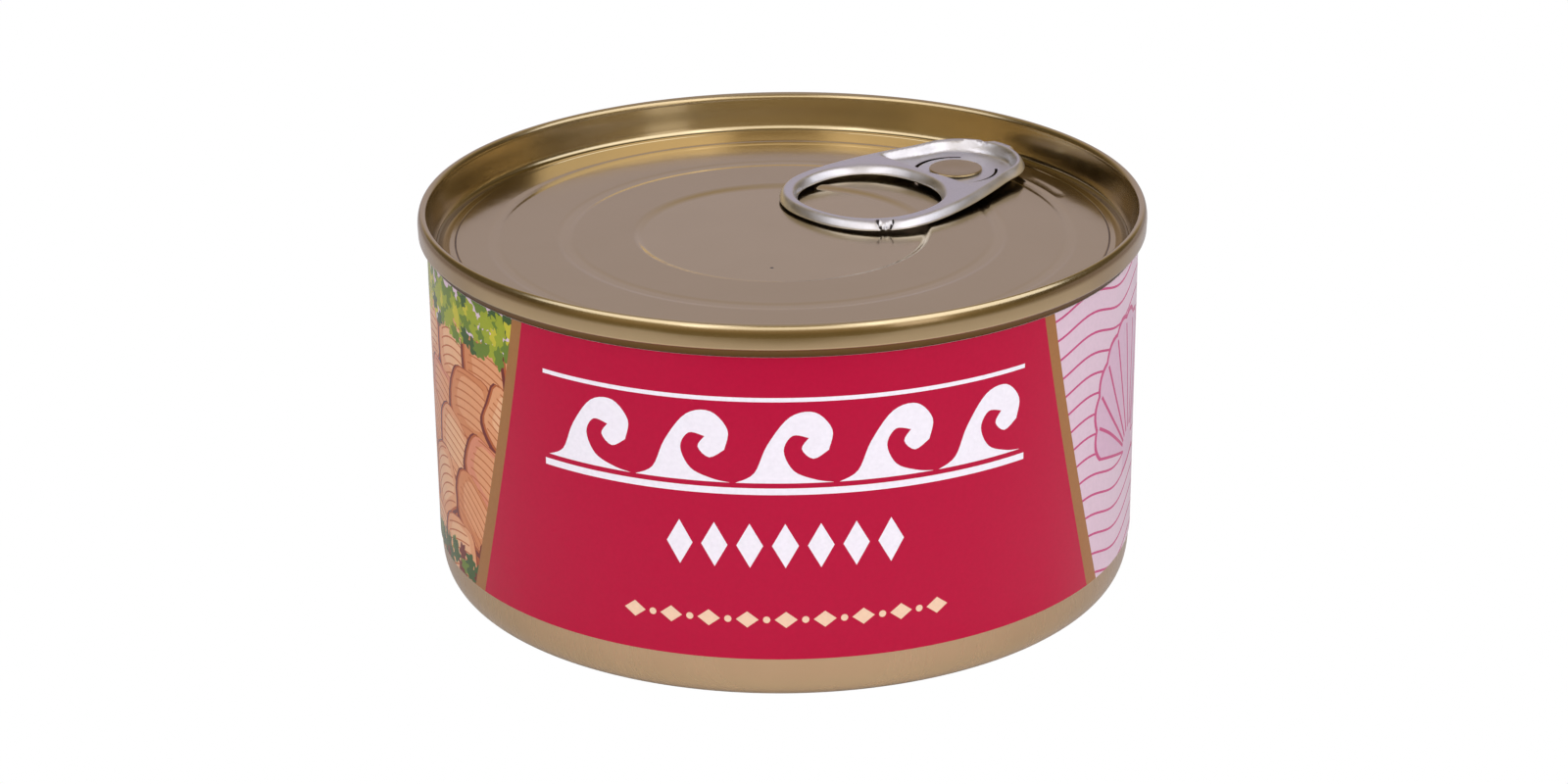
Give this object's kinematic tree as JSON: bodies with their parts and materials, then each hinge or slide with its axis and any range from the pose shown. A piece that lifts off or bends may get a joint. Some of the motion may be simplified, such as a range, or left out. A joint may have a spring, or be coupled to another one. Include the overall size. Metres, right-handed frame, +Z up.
{
  "type": "tuna can",
  "caption": "Shut round food can with a seamed easy-open lid, a ring-pull tab riveted to it and a wrap-round paper label.",
  "frame": {"origin": "centre of the can's base, on the surface it stands on", "axes": "+Z up along the can's axis, -Y towards the front of the label, +X to its right"},
  "size_m": [0.0874, 0.0874, 0.046],
  "materials": {
    "body_tinplate": "tinplate under a clear gold lacquer, satin gloss",
    "lid_tinplate": "tinplate under a clear gold lacquer, glossy",
    "label_paper": "coated paper, gloss print in crimson, gold, peach and pale pink fields",
    "tab_aluminium": "stamped aluminium, satin, with curled edges"
  },
  "bodies": {
    "root": {"can_body": "body_tinplate", "lid": "lid_tinplate", "label": "label_paper", "pull_tab": "tab_aluminium"}
  },
  "joints": []
}
